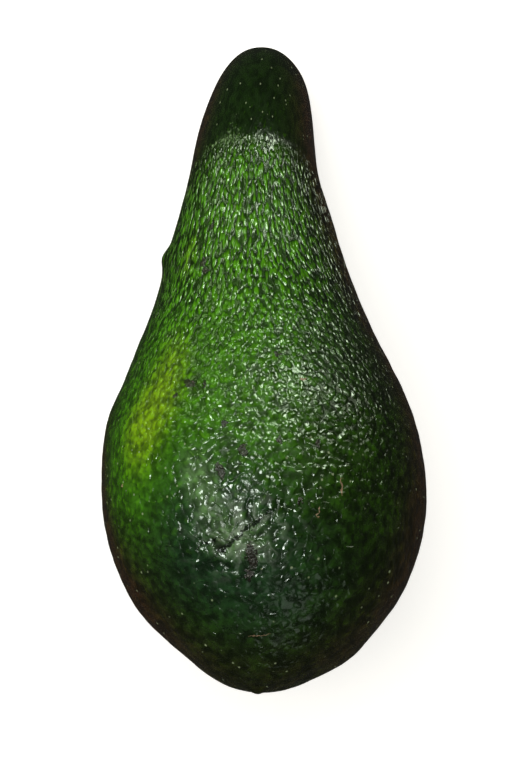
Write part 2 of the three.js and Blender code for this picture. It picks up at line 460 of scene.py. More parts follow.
def marks_mask(tree, place, marks, pose):
    """1 inside any of the small marks, fading to 0 at its ragged edge."""
    turn, lift, shift = pose
    total = 0.0
    for station, degrees, half_length, half_width, lean in marks:
        centre, outward, along, around = (turn @ vector for vector in place_at(station, degrees))
        down_axis, across_axis = leaning(along, around, lean)
        middle = (centre + [0, 0, lift] + shift) * MM
        offset = add(tree, VECTOR, MINUS, {0: place, 1: tuple(middle)})
        joined = add(tree, "ShaderNodeCombineXYZ")
        reaches = (down_axis / half_length, across_axis / half_width, outward / half_length)
        for index, axis in enumerate(reaches):
            share = add(tree, VECTOR, {"operation": "DOT_PRODUCT"}, {0: offset, 1: tuple(axis / MM)})
            tree.links.new(share.outputs["Value"], joined.inputs[index])
        away = add(tree, VECTOR, {"operation": "LENGTH"}, {0: joined}).outputs["Value"]
        inside = add(tree, SPREAD, EASED, {"Value": away, "From Min": 1.12, "From Max": 0.80})
        total = add(tree, MATH, {"operation": "MAXIMUM"}, {0: total, 1: inside})
    return total


def rind_patterns(tree, settings):
    """What the rind's colour, gloss and bump share: its fields, places, noises and heights from 0 to 1."""
    rind = {
        name: add(tree, "ShaderNodeAttribute", {"attribute_name": name}).outputs["Fac"]
        for name in [*FIELDS, "relief", "nod"]
    }
    skin = add(tree, "ShaderNodeAttribute", {"attribute_name": "skin"}).outputs["Vector"]
    place = add(tree, "ShaderNodeTexCoord").outputs["Object"]
    rows = swayed(tree, skin, SWAYS, 1.0, SWAY_REACH)
    rind.update(skin=skin, place=place, rows=rows)

    for name, where, scale, detail in (
        ("drift", place, 1 / (DRIFT_SIZE * MM), 4.0),
        ("grain", place, 1 / (GRAIN_SIZE * MM), 2.0),
        ("mottle", skin, MOTTLES, 3.0),
    ):
        inputs = {"Vector": where, "Scale": scale, "Detail": detail}
        rind[name] = add(tree, NOISE, None, inputs).outputs["Fac"]
    for name, scale, detail, distortion in (("folds", FOLDS, 1.5, 0.4), ("curls", CURLS, 2.5, 0.8)):
        inputs = {"Vector": rows, "Scale": scale, "Detail": detail, "Distortion": distortion}
        rind[name] = add(tree, NOISE, RIDGED, {**inputs, "Offset": 1.0, "Gain": 1.0}).outputs["Fac"]

    # Pebbles, with folds that wander between and over them, most of all where the relief is low.
    low, high = SOFT_RELIEF * MM, PEBBLY_RELIEF * MM
    pebbly = add(tree, SPREAD, None, {"Value": rind["relief"], "From Min": low, "From Max": high})
    folds = add(tree, SPREAD, EASED, {"Value": rind["folds"], "From Min": 0.5, "From Max": 1.6})
    fold_range = {0: pebbly, 1: -MORE_FOLDS_WHERE_SOFT, 2: settings.fold_share + MORE_FOLDS_WHERE_SOFT}
    fold_share = add(tree, MATH, TIMES_PLUS, fold_range)
    height = add(tree, MIX, None, {"Factor": fold_share, "A": domes(tree, rows, 1.0), "B": folds})
    rind.update(pebbly=pebbly, height=height)
    return rind


def rind_green(tree, settings, rind):
    """Green from the near-black side to the sunlit one, partly painted shade and painted light, broken up by
    drifts and by chance from pebble to pebble, with broad fields of other colours."""
    cells = add(tree, CELLS, {"feature": "F1"}, {"Vector": rind["rows"], "Scale": 1.0}).outputs["Color"]
    chance = add(tree, "ShaderNodeSeparateColor", None, {"Color": cells}).outputs["Red"]
    tone = rind["sunlit_and_painted_light"]
    for drift, reach in ((rind["drift"], 0.5), (rind["mottle"], 0.4), (chance, 0.16)):
        centred = add(tree, MATH, TIMES_PLUS, {0: drift, 1: reach, 2: -reach / 2})
        tone = add(tree, MATH, {"operation": "ADD"}, {0: tone, 1: centred})
    # The neck's end is pushed towards near-black, partly as painted shade.
    tone = add(tree, MATH, TIMES_PLUS, {0: rind["tipped"], 1: -0.6, 2: tone})
    greens = add(tree, "ShaderNodeValToRGB", None, {"Fac": tone})
    greens.color_ramp.elements[0].color = settings.dark_and_painted_shade_green
    greens.color_ramp.elements[1].color = settings.sunlit_and_painted_light_green
    greens.color_ramp.elements.new(0.45).color = settings.middle_green
    colour = greens.outputs["Color"]

    # The fields' edges are broken up by the same mottle. The rim shade is painted shade, and the near-black
    # of the neck's end is partly painted shade.
    ragged = add(tree, MATH, TIMES_PLUS, {0: rind["mottle"], 1: 0.9, 2: 0.55})
    for name, tint, strength in (
        ("blued", settings.blue_green, 0.8),
        ("yellowed", settings.yellow_green, 1.0),
        ("tipped", settings.tip_green_and_shade, 0.95),
        ("rim_shade", settings.brown, 0.85),
        ("waxed", settings.wax, 0.42),
    ):
        shaken = add(tree, MATH, TIMES, {0: rind[name], 1: ragged})
        share = {"Value": shaken, "From Min": 0.05, "From Max": 0.95, "To Max": strength}
        colour = add(tree, MIX, TINT, {"Factor": add(tree, SPREAD, EASED, share), "A": colour, "B": tint})
    return colour


def rind_shading(tree, settings, rind):
    """Painted light and shade of the skin against its colour: furrows get painted shade and crests painted
    light, patches of mottle are lighter and darker, and the gaps between the curls of wrinkled skin get
    painted shade.
    """
    light = {"To Min": settings.furrow_painted_shade, "To Max": settings.crest_painted_light}
    light = add(tree, SPREAD, EASED, {"Value": rind["height"], "From Min": 0.1, "From Max": 0.55, **light})
    light = add(tree, MIX, None, {"Factor": rind["pebbly"], "A": SOFT_LIGHT, "B": light})
    spread = {"From Min": 0.35, "From Max": 0.65, "To Min": 0.62, "To Max": 1.42}
    patchy = add(tree, SPREAD, EASED, {"Value": rind["mottle"], **spread})
    light = add(tree, MATH, TIMES, {0: light, 1: patchy})
    spread = {"From Min": 0.4, "From Max": 1.1, "To Min": 0.2, "To Max": 1.15}
    gap_shade = add(tree, SPREAD, EASED, {"Value": rind["curls"], **spread})
    gap_shade = add(tree, MATH, TIMES, {0: light, 1: gap_shade})
    return add(tree, MIX, None, {"Factor": rind["wrinkled"], "A": light, "B": gap_shade})


def rind_material(settings, pose):
    """Avocado rind: a living skin with a thin coat of its own wax, rubbed to a gloss by handling. Its pebbles
    catch the light one by one; their furrows are darkened with painted shade and their crests lit with
    painted light, and colour drifts from sunlit green to near black, partly as painted light and shade."""
    material, tree = new_material("avocado_rind_waxy")
    rind = rind_patterns(tree, settings)
    colour = rind_green(tree, settings, rind)
    shading = rind_shading(tree, settings, rind)
    # The colour takes the painted light and shade.
    colour = add(tree, VECTOR, {"operation": "SCALE"}, {"Vector": colour, "Scale": shading})

    # Painted highlights: crests are paler on the sunlit side, and the ridges of the curls of wrinkled skin
    # get pale painted highlights.
    crest = add(tree, SPREAD, EASED, {"Value": rind["height"], "From Min": 0.55, "From Max": 0.85})
    crest = add(tree, MATH, TIMES, {0: crest, 1: rind["sunlit_and_painted_light"]})
    crest = add(tree, MATH, TIMES, {0: crest, 1: settings.crest_highlight_paleness})
    colour = add(tree, MIX, TINT, {"Factor": crest, "A": colour, "B": settings.crest_highlight_green})
    curl_highlight_share = {"Value": rind["curls"], "From Min": 0.95, "From Max": 1.45, "To Max": 0.48}
    curl_highlight_share = add(tree, SPREAD, EASED, curl_highlight_share)
    curl_highlight_share = add(tree, MATH, {**TIMES, "use_clamp": True}, {0: curl_highlight_share, 1: rind["wrinkled"]})
    colour = add(tree, MIX, TINT, {"Factor": curl_highlight_share, "A": colour, "B": settings.curl_highlight})

    # Lenticels: pale breathing pores about half a millimetre across, a few millimetres apart.
    spots = add(tree, CELLS, {"feature": "F1"}, {"Vector": rind["skin"], "Scale": PORES}).outputs["Distance"]
    pore = add(tree, SPREAD, EASED, {"Value": spots, "From Min": 0.11, "From Max": 0.05, "To Max": 0.5})
    colour = add(tree, MIX, TINT, {"Factor": pore, "A": colour, "B": settings.pore})

    # Stains, creases with painted shade along their bottoms, dry corky spots whose pale flakes also paint
    # their glints, and scars, with ragged edges.
    torn = swayed(tree, rind["place"], 1 / (TORN_EDGE_SIZE * MM), 2.0, TORN_EDGE_REACH * MM)
    # Pale flakes on the cork, which also paint the glints on its spots.
    flake_glints = add(tree, SPREAD, EASED, {"Value": rind["grain"], "From Min": 0.63, "From Max": 0.71})
    corky = add(tree, MIX, TINT, {"Factor": flake_glints, "A": settings.cork, "B": settings.cork_flake_glint})
    mark = {}
    for name, marks, tint, strength in (
        ("stain", STAINS, settings.stain, 0.45),
        # Painted shade: creases are painted near-black along their bottoms.
        ("crease", CREASES, settings.crease, 0.85),
        ("cork", CORK_SPOTS, corky, 0.92),
        ("scar", SCARS, settings.scar, 0.8),
    ):
        mark[name] = marks_mask(tree, torn, marks, pose)
        share = add(tree, MATH, TIMES, {0: mark[name], 1: strength})
        colour = add(tree, MIX, TINT, {"Factor": share, "A": colour, "B": tint})

    # Gloss: crests are rubbed smooth, furrows keep their dull bloom, the neck's end shines, and cork is dry.
    gloss = {"To Min": settings.furrow_roughness, "To Max": settings.crest_roughness}
    rough = add(tree, SPREAD, EASED, {"Value": rind["height"], "From Min": 0.2, "From Max": 0.7, **gloss})
    soft = add(tree, MATH, MINUS, {0: 1.0, 1: rind["pebbly"]})
    for what, more in (
        (rind["grain"], 0.06),
        (soft, 0.05),
        (rind["tipped"], -0.07),
        (mark["cork"], 0.15),
        (mark["scar"], 0.15),
    ):
        rough = add(tree, MATH, TIMES_PLUS, {0: what, 1: more, 2: rough})

    # Bump in metres: the pebbles, the finer folds on them, curls of wrinkled skin, cork, creases, and the nod
    # of the neck's end.
    inputs = {"Vector": rind["skin"], "Scale": FINE_FOLDS, "Detail": 2.5, "Roughness": 0.6, "Distortion": 0.5}
    fine = add(tree, NOISE, None, inputs).outputs["Fac"]
    raising = add(tree, MATH, TIMES_PLUS, {0: rind["wrinkled"], 1: settings.wrinkled_rise, 2: 1.0})
    relief = add(tree, MATH, TIMES, {0: rind["relief"], 1: raising})
    pebble_rise = add(tree, MATH, TIMES, {0: relief, 1: settings.bump_height})
    fine_rise = add(tree, MATH, TIMES, {0: relief, 1: settings.fine_fold_height})
    curl = add(tree, MATH, TIMES, {0: rind["wrinkled"], 1: rind["curls"]})
    rough_cork = add(tree, MATH, TIMES, {0: mark["cork"], 1: rind["grain"]})
    total = 0.0
    for what, rise in (
        (rind["height"], pebble_rise),
        (fine, fine_rise),
        (rind["grain"], GRAIN_RISE * MM),
        (curl, CURL_RISE * MM),
        (rough_cork, CORK_RISE * MM),
        (rind["nod"], -1.0),
        (mark["crease"], -CREASE_DEPTH * MM),
    ):
        total = add(tree, MATH, TIMES_PLUS, {0: what, 1: rise, 2: total})
    bump = add(tree, "ShaderNodeBump", None, {"Strength": 1.0, "Distance": 1.0, "Height": total})

    shader = add(tree, SHADER, None, {"Base Color": colour, "Roughness": rough, "Normal": bump, "IOR": 1.45})
    add(tree, OUTPUT, None, {"Surface": shader})
    return material


def stump_material(settings):
    """Dry stem wood: a twig's end grain, bleached round a darker pith and split as it dried, in a thin brown
    bark. It is matt all over."""
    material, tree = new_material("stem_wood_dry")
    grain = add(tree, "ShaderNodeAttribute", {"attribute_name": "grain"}).outputs["Vector"]

    # Grain holds the share of the way out from the pith, the turn round it and the height, so noise squeezed
    # one way makes rings and squeezed the other way makes rays.
    ringed = add(tree, VECTOR, TIMES, {0: grain, 1: WOOD_RINGS})
    rayed = add(tree, VECTOR, TIMES, {0: grain, 1: WOOD_RAYS})
    rings = add(tree, NOISE, None, {"Vector": ringed, "Scale": 1.0, "Detail": 3.0}).outputs["Fac"]
    rays = add(tree, NOISE, None, {"Vector": rayed, "Scale": 1.0, "Detail": 5.0}).outputs["Fac"]
    fibre = add(tree, MIX, None, {"Factor": 0.55, "A": rings, "B": rays})
    out = add(tree, "ShaderNodeSeparateXYZ", None, {"Vector": grain}).outputs["X"]

    woods = add(tree, "ShaderNodeValToRGB", None, {"Fac": fibre})
    woods.color_ramp.elements[0].position = 0.36
    woods.color_ramp.elements[0].color = settings.dark_wood
    woods.color_ramp.elements[1].position = 0.64
    woods.color_ramp.elements[1].color = settings.pale_wood
    bark = add(tree, SPREAD, EASED, {"Value": out, "From Min": 0.74, "From Max": 0.86})
    pith = add(tree, SPREAD, EASED, {"Value": out, "From Min": 0.22, "From Max": 0.12})
    colour = add(tree, MIX, TINT, {"Factor": bark, "A": woods.outputs["Color"], "B": settings.bark})
    colour = add(tree, MIX, TINT, {"Factor": pith, "A": colour, "B": settings.dark_wood})

    bump = {"Strength": 1.0, "Distance": FIBRE_HEIGHT * MM, "Height": fibre}
    bump = add(tree, "ShaderNodeBump", None, bump)
    shader = add(tree, SHADER, None, {"Base Color": colour, "Roughness": 0.86, "Normal": bump})
    add(tree, OUTPUT, None, {"Surface": shader})
    return material


def floor_material(settings):
    """Matt pale paint on a flat board. It gives a little light of itself, as a light table does."""
    material, tree = new_material("floor_matt_paint")
    paint = {"Base Color": settings.floor, "Roughness": 0.95, "Specular IOR Level": 0.1}
    light = {"Emission Color": settings.floor, "Emission Strength": settings.floor_glow}
    add(tree, OUTPUT, None, {"Surface": add(tree, SHADER, None, {**paint, **light})})
    return material


# ---- Settings ----------------------------------------------------------------------------------------------


def colour_property(name, description, default):
    return FloatVectorProperty(
        name=name, description=description, subtype="COLOR", size=4, min=0, max=1, default=linear(default)
    )


def share_property(name, description, default):
    return FloatProperty(name=name, description=description, subtype="FACTOR", min=0, max=1, default=default)


def level_property(name, description, default):
    return FloatProperty(name=name, description=description, min=0, default=default)


class AvocadoRindSettings(bpy.types.PropertyGroup):
    relief_share: share_property("Raised Share", "Share of the pebbles' height that is in the mesh", 0.8)
    bump_height: level_property("Bump Height", "Height in the bump, as a multiple of the relief", 2.8)
    fine_fold_height: level_property("Fine Folds", "Height of fine folds, as a multiple of the relief", 0.35)
    wrinkled_rise: level_property("Wrinkled Rise", "How much higher all stands where skin is wrinkled", 0.3)
    fold_share: share_property("Fold Share", "How much of the height is folds and not pebbles", 0.3)
    crest_roughness: share_property("Crest Roughness", "Roughness of rubbed crests", 0.11)
    furrow_roughness: share_property("Furrow Roughness", "Roughness of the furrows", 0.19)
    # Painted shade in the furrows.
    furrow_painted_shade: level_property("Furrow Light", "Lightness of the furrows against the skin's colour", 0.2)
    # Painted light on the crests.
    crest_painted_light: level_property("Crest Light", "Lightness of the crests against the skin's colour", 1.2)
    # Strength of the painted highlight on the sunlit crests.
    crest_highlight_paleness: share_property("Crest Paleness", "How pale the sunlit crests are", 0.2)
    # Near-black end of the green: partly the rind's own shaded colour, partly painted shade.
    dark_and_painted_shade_green: colour_property("Shaded Green", "Rind that grew in the shade", "#162608")
    middle_green: colour_property("Middle Green", "Rind between shade and sun", "#284c06")
    # Light end of the green: partly colour that grew in the sun, partly painted light.
    sunlit_and_painted_light_green: colour_property("Sunlit Green", "Rind that grew in the sun", "#3a7402")
    yellow_green: colour_property("Yellow Green", "Patches that have begun to yellow", "#6f9a04")
    # Colour of the painted shade on the rims and underside.
    brown: colour_property("Brown", "Rims and underside", "#34200f")
    # Colour of the neck's end, partly painted shade.
    tip_green_and_shade: colour_property("Tip Green", "Dark end of the neck", "#14280a")
    blue_green: colour_property("Blue Green", "Rind under a bloom of wax", "#1b3a20")
    wax: colour_property("Wax", "Wax and dried film on the surface", "#7ca868")
    # Painted highlight along the ridges of the curls of wrinkled skin.
    curl_highlight: colour_property("Scuff", "Scuffed crests of wrinkled skin", "#9aab98")
    # Colour of the painted highlight on the sunlit crests.
    crest_highlight_green: colour_property("Crest Green", "Crests of the sunlit pebbles", "#6cb41a")
    pore: colour_property("Pore", "Lenticels", "#b4c69a")
    cork: colour_property("Cork", "Corky spots", "#1a110a")
    # Pale flakes on the cork, partly painted glints.
    cork_flake_glint: colour_property("Cork Flake", "Loose flakes on the corky spots", "#8c8078")
    stain: colour_property("Stain", "Dark stains", "#1c2016")
    # Painted shade in the bottoms of the creases.
    crease: colour_property("Crease", "Bottoms of the creases", "#0c120c")
    scar: colour_property("Scar", "Healed scratches", "#a2866a")


class AvocadoStumpSettings(bpy.types.PropertyGroup):
    radius: FloatProperty(name="Radius", description="Radius of the stump", default=2.6 * MM, unit="LENGTH")
    lobes: IntProperty(name="Lobes", description="Lobes round the stump", default=5, min=0)
    lobe_height: FloatProperty(
        name="Lobe Height",
        description="How far the lobes stand out",
        default=0.12 * MM,
        precision=5,
        unit="LENGTH",
    )
    pale_wood: colour_property("Pale Wood", "Bleached fibre of the dry stem", "#a08560")
    dark_wood: colour_property("Dark Wood", "Weathered fibre, pith and splits", "#3d2c1d")
    bark: colour_property("Bark", "Thin bark round the stem", "#4a3a24")


class AvocadoStageSettings(bpy.types.PropertyGroup):
    floor: colour_property("Floor", "Plain pale floor", "#f4f4f2")
    floor_size: FloatProperty(name="Floor Size", description="Width of the floor", default=6.0, unit="LENGTH")
    floor_glow: level_property("Floor Glow", "Light that the floor gives of itself", 0.66)
    glow: level_property("Glow", "Strength of the even light from all round", 0.03)


# ---- Rind --------------------------------------------------------------------------------------------------


def ring_angles():
    """Dome angles of the skin's rings from the stem outward, evenly spaced along the skin past the seat."""
    first = SEAT_PROFILE[-1][0] / SEAT_TURN * SEAT_MARGIN
    fine = np.linspace(first, math.pi, PROFILE_STEPS + 1)
    run = np.gradient(radius_at(fine), fine)
    rise = np.sin(fine) * LENGTH / 2
    arc = np.concatenate([[0], np.cumsum(np.hypot(run, rise)[1:] * np.diff(fine))])
    count = RINGS - len(SEAT_PROFILE)
    spread = np.interp(np.linspace(0, arc[-1], count + 1), arc, fine)
    return np.concatenate([np.linspace(0, first, len(SEAT_PROFILE), endpoint=False), spread])


def skin_places():
    """Station and bearing of every point of the skin's grid, ring by ring from the stem to the blossom end.

    The grid's pole is on the stem, which stands a little below the neck's end, and the shift fades out by the
    time the rings reach the middle of the fruit.
    """
    angle = ring_angles()[:, None]
    bearing = np.linspace(0, 2 * math.pi, SEGMENTS, endpoint=False)[None, :]
    x = np.sin(angle) * np.cos(bearing)
    y = np.cos(angle) * np.ones_like(bearing)
    z = np.sin(angle) * np.sin(bearing)
    share = np.clip(1 - angle / (math.pi / 2), 0, 1)
    tilt = math.acos(2 * STEM_STATION - 1) * share**2 * (3 - 2 * share)
    y, z = y * np.cos(tilt) + z * np.sin(tilt), z * np.cos(tilt) - y * np.sin(tilt)
    station = np.clip((1 + y) / 2, 0, 1)
    return station, np.arctan2(z, x)


def seated(point):
    """The grid with its first rings bent into the stem's seat."""
    centre, outward, _, _ = place_at(STEM_STATION, STEM_BEARING)
    rim = point[len(SEAT_PROFILE)] - centre
    spokes = unit(rim - (rim @ outward)[:, None] * outward)
    for ring, (radius, height) in enumerate(SEAT_PROFILE):
        point[ring] = centre + spokes * radius + outward * height
    return point


@functools.cache
def skin_grid():
    """Points of the skin at rest, with its lumps and seat, their skin coordinates, and its fields.

    Skin coordinates count pebbles round and along the fruit, so one pattern suits every spacing.
    """
    station, bearing = skin_places()
    point, outward, _, _ = body_at(station, bearing)
    fields = {name: field_of(marks, point) for name, marks in FIELDS.items()}

    steps = np.linspace(0, 1, STATION_STEPS + 1)
    along_count = np.concatenate([[0], np.cumsum(np.diff(steps) * LENGTH / through(PITCH_ALONG)(steps[1:]))])
    radius = radius_at(np.arccos(np.clip(2 * station - 1, -1, 1)))
    girth = radius / through(PITCH_ROUND)(station)
    skin = np.stack(
        [girth * np.cos(bearing), np.interp(station, steps, along_count), girth * np.sin(bearing)], axis=-1
    )

    ring = np.arange(RINGS + 1)[:, None]
    clear = np.clip((ring - len(SEAT_PROFILE)) / SEAT_FADE_RINGS, 0, 1)
    fields["relief"] = through(RELIEF)(station) * clear * MM
    beyond = np.clip(station - TIP_START, 0, None) * LENGTH
    fields["nod"] = TIP_NOD * beyond**2 / (beyond + TIP_NOD_EASE) * MM
    smooth = np.clip((fields["tipped"] - TIP_SMOOTH_FROM) / (TIP_SMOOTH_TO - TIP_SMOOTH_FROM), 0, 1)
    fields["relief"] *= 1 - TIP_SMOOTHNESS * smooth

    point = point + outward * swelling_at(point, station, bearing)[..., None]
    turn, lift = lying_pose()
    point = seated(point) @ turn.T + [0, 0, lift]
    return point, skin, fields


def grid_index(mesh):
    """Ring and segment of each point of a fresh sphere whose poles are on Y, ring 0 on +Y."""
    spot = np.zeros(len(mesh.vertices) * 3)
    mesh.vertices.foreach_get("co", spot)
    x, y, z = unit(spot.reshape(-1, 3)).T
    ring = np.rint(np.arccos(np.clip(y, -1, 1)) / math.pi * RINGS).astype(int)
    segment = np.rint(np.arctan2(z, x) / (2 * math.pi) * SEGMENTS).astype(int) % SEGMENTS
    return ring, segment


def keep_field(mesh, name, kind, values):
    attribute = mesh.attributes.new(name, kind, "POINT")
    member = "vector" if kind == "FLOAT_VECTOR" else "value"
    attribute.data.foreach_set(member, values.astype(np.float32).ravel())


def relief_group(settings):
    """Geometry nodes that raise the groups of pebbles along the skin's own normals."""
    tree = bpy.data.node_groups.new("rind_pebbles", "GeometryNodeTree")
    tree.interface.new_socket("Geometry", in_out="INPUT", socket_type="NodeSocketGeometry")
    tree.interface.new_socket("Geometry", in_out="OUTPUT", socket_type="NodeSocketGeometry")
    entry = add(tree, "NodeGroupInput")
    skin = add(tree, "GeometryNodeInputNamedAttribute", {"data_type": "FLOAT_VECTOR"}, {"Name": "skin"})
    relief = add(tree, "GeometryNodeInputNamedAttribute", {"data_type": "FLOAT"}, {"Name": "relief"})
    height = swell(tree, skin.outputs["Attribute"])
    centred = add(tree, MATH, MINUS, {0: height, 1: 0.5})
    share = add(tree, MATH, TIMES, {0: relief.outputs["Attribute"], 1: settings.relief_share})
    rise = add(tree, MATH, TIMES, {0: centred, 1: share})
    normal = add(tree, "GeometryNodeInputNormal")
    offset = add(tree, VECTOR, {"operation": "SCALE"}, {"Vector": normal, "Scale": rise})
    raised = add(tree, "GeometryNodeSetPosition", None, {"Geometry": entry, "Offset": offset})
    add(tree, "NodeGroupOutput", None, {0: raised})
    return tree


def start_piece():
    """Nothing selected, so that the next operator touches only what it adds."""
    bpy.ops.object.select_all(action="DESELECT")


def finish_piece(piece, name, material, node):
    piece.name = name
    piece.data.name = name
    piece.data.materials.clear()
    piece.data.materials.append(material)
    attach(piece, PIECE_BODY)
    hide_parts(node)


def box_shift(point, node):
    """Move in millimetres that centres points on a CAD node's box, seen from above."""
    low, high = (np.array(corner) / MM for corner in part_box(node))
    middle = (point.reshape(-1, 3).min(0) + point.reshape(-1, 3).max(0)) / 2
    shift = (low + high) / 2 - middle
    return np.array([shift[0], shift[1], 0])


class AVOCADO_OT_rind(bpy.types.Operator):
    """Makes the pebbled rind"""

    bl_idname = "avocado.rind"
    bl_label = "Make Rind"

    def execute(self, context):
        settings = context.scene.avocado_rind
        start_piece()
        bpy.ops.mesh.primitive_uv_sphere_add(
            segments=SEGMENTS,
            ring_count=RINGS,
            radius=LENGTH / 2 * MM,
            location=(0, 0, 0),
            rotation=(-math.pi / 2, 0, 0),
            calc_uvs=True,
        )
        bpy.ops.object.transform_apply(location=True, rotation=True, scale=True)
        piece = context.object
        mesh = piece.data
        mesh.uv_layers[0].name = "OFBake"

        point, skin, fields = skin_grid()
        shift = box_shift(point, "fruit")
        where = grid_index(mesh)
        mesh.vertices.foreach_set("co", ((point + shift)[where] * MM).ravel())
        keep_field(mesh, "skin", "FLOAT_VECTOR", skin[where])
        for name, values in fields.items():
            keep_field(mesh, name, "FLOAT", values[where])
        mesh.update()

        modifier = piece.modifiers.new("Pebbles", "NODES")
        modifier.node_group = relief_group(settings)
        bpy.ops.object.modifier_apply(modifier=modifier.name)
        mesh = piece.data

        # The floor presses its pebbles flat.
        for vertex in mesh.vertices:
            vertex.co.z = max(vertex.co.z, 0.0)
        bpy.ops.object.shade_smooth()
        turn, lift = lying_pose()
        finish_piece(piece, "rind", rind_material(settings, (turn, lift, shift)), "fruit")
        return {"FINISHED"}


# ---- Stem --------------------------------------------------------------------------------------------------

# The stump's own frame has its foot below and its cut end up, in millimetres from the smooth rind. Each step
# goes inward and up from the one before. The end is cupped round a low pith, and the foot is flat.
STUMP_FOOT = -2.25
STUMP_SHOULDER = -0.05
STUMP_END_STEPS = [(0.6, 0.3), (0.6, -0.15), (0.6, -0.35), (0.4, 0.15), (0.3, 0.05)]
STUMP_FOOT_STEPS = [(0.5, 0.0), (0.9, 0.0), (0.9, 0.0)]
STUMP_SIDES = 96
END_FACING = 0.9  # least share of its normal that points along the stem, for a face of an end

# Weathering of the end: it begins below the shoulder and comes in over a short height. Fibres rise and fall
# by a fine noise, the torn rim by a coarser one that is read round a ring, and the bark is uneven by a share
# of its radius.
WEATHER_DEPTH = 0.35
WEATHER_EASE = 0.3
FIBRE_RISE = 0.07
FIBRES_PER_MM = 2.2
TORN_RISE = 0.10
TORN_RING = (4.0, 7.3)  # radius of the ring and its height
BARK_UNEVENNESS = 0.012

# Splits in the dry end: angle in degrees, where it starts and ends from the middle, depth and half-width.
# Each opens and closes over a short length, and wanders to the sides in waves of so many radians to the
# millimetre.
SPLIT_EASE = 0.3
SPLIT_WANDER = 0.06
SPLIT_WAVES = 5
SPLITS = [
    (20, 0.2, 2.2, 0.35, 0.07),
    (95, 0.5, 1.7, 0.25, 0.06),
    (158, 0.3, 2.4, 0.40, 0.08),
    (231, 0.6, 1.9, 0.25, 0.06),
    (300, 0.2, 2.1, 0.30, 0.07),
]


def weathered(point, settings):
    """The stump's points with lobes, splits, a torn rim and the fine roughness of fibre ends, and their
    grain."""
    radius = np.hypot(point[:, 0], point[:, 1])
    turn = np.arctan2(point[:, 1], point[:, 0])
    reach = settings.radius / MM
    swell_share = settings.lobe_height / MM * np.cos(settings.lobes * turn) * radius / reach**2
    end = np.clip((point[:, 2] - STUMP_SHOULDER + WEATHER_DEPTH) / WEATHER_EASE, 0, 1)
    sink = np.zeros(len(point))
    for degrees, start, stop, depth, half_width in SPLITS:
        spoke = np.array([math.cos(math.radians(degrees)), math.sin(math.radians(degrees))])
        out = point[:, :2] @ spoke
        wander = SPLIT_WANDER * np.sin(out * SPLIT_WAVES + degrees)
        across = point[:, 1] * spoke[0] - point[:, 0] * spoke[1] - wander
        within = np.clip((out - start) / SPLIT_EASE, 0, 1) * np.clip((stop - out) / SPLIT_EASE, 0, 1)
        sink += depth * within * np.exp(-((across / half_width) ** 2))
    rough = np.array([noise.fractal(Vector(p) * FIBRES_PER_MM, 0.6, 2.0, 4) for p in point])
    wide, high = TORN_RING
    ring = [(math.cos(angle) * wide, math.sin(angle) * wide, high) for angle in turn]
    torn = np.array([noise.noise(Vector(place)) for place in ring])
    lift = end * (FIBRE_RISE * rough + TORN_RISE * torn * np.clip(radius / reach, 0, 1) - sink)
    moved = point.copy()
    moved[:, :2] *= (1 + swell_share + BARK_UNEVENNESS * rough)[:, None]
    moved[:, 2] += lift

    # Grain counts radii out from the pith, sixths of a turn and steps of 4 mm up.
    return moved, np.stack([radius / reach, turn / math.pi * 3, point[:, 2] / 4], axis=-1)


class AVOCADO_OT_stump(bpy.types.Operator):
    """Makes the dry stump of the stem"""

    bl_idname = "avocado.stump"
    bl_label = "Make Stem Stump"

    def execute(self, context):
        settings = context.scene.avocado_stump
        start_piece()
        depth = (STUMP_SHOULDER - STUMP_FOOT) * MM
        bpy.ops.mesh.primitive_cylinder_add(
            vertices=STUMP_SIDES,
            radius=settings.radius,
            depth=depth,
            location=(0, 0, STUMP_FOOT * MM + depth / 2),
        )
        bpy.ops.object.transform_apply(location=True, rotation=True, scale=True)
        piece = context.object
        mesh = piece.data
        mesh.uv_layers[0].name = "OFBake"

        # The two ends are selected by their normals.
        for way, steps in ((1, STUMP_END_STEPS), (-1, STUMP_FOOT_STEPS)):
            for face in mesh.polygons:
                face.select = face.normal.z * way > END_FACING
            for edge in mesh.edges:
                edge.select = False
            bpy.ops.object.mode_set(mode="EDIT")
            bpy.ops.mesh.select_mode(type="FACE")
            for inward, upward in steps:
                bpy.ops.mesh.inset(thickness=inward * MM, depth=upward * MM)
            bpy.ops.mesh.select_all(action="DESELECT")
            bpy.ops.object.mode_set(mode="OBJECT")

        smooth = piece.modifiers.new("Smooth", "SUBSURF")
        smooth.levels = 2
        smooth.render_levels = 2
        bpy.ops.object.modifier_apply(modifier=smooth.name)
        mesh = piece.data
        spot = np.zeros(len(mesh.vertices) * 3)
        mesh.vertices.foreach_get("co", spot)
        point, grain = weathered(spot.reshape(-1, 3) / MM, settings)
        keep_field(mesh, "grain", "FLOAT_VECTOR", grain)

        # Stood in its seat: the stump's own upright becomes the rind's outward direction there.
        centre, outward, along, around = place_at(STEM_STATION, STEM_BEARING)
        turn, lift = lying_pose()
        shift = box_shift(skin_grid()[0], "fruit")
        stood = centre + point @ np.stack([around, along, outward])
        mesh.vertices.foreach_set("co", ((stood @ turn.T + [0, 0, lift] + shift) * MM).ravel())
        mesh.update()

        bpy.ops.object.mode_set(mode="EDIT")
        bpy.ops.mesh.select_all(action="SELECT")
        bpy.ops.mesh.normals_make_consistent(inside=False)
        bpy.ops.uv.smart_project(angle_limit=math.radians(60), island_margin=0.01)
        bpy.ops.object.mode_set(mode="OBJECT")
        bpy.ops.object.shade_smooth()
        finish_piece(piece, "stem_stump", stump_material(settings), "stem_button")
        return {"FINISHED"}


# ---- Stage -------------------------------------------------------------------------------------------------

CAMERA_PLACE = Vector((-1.14, -69.5, 423.9)) * MM
CAMERA_LENS = 87.4
CAMERA_SENSOR = 36  # in millimetres, along the render's long side
LOOK_AT = Vector((-1.69, -8.84, 28.5)) * MM

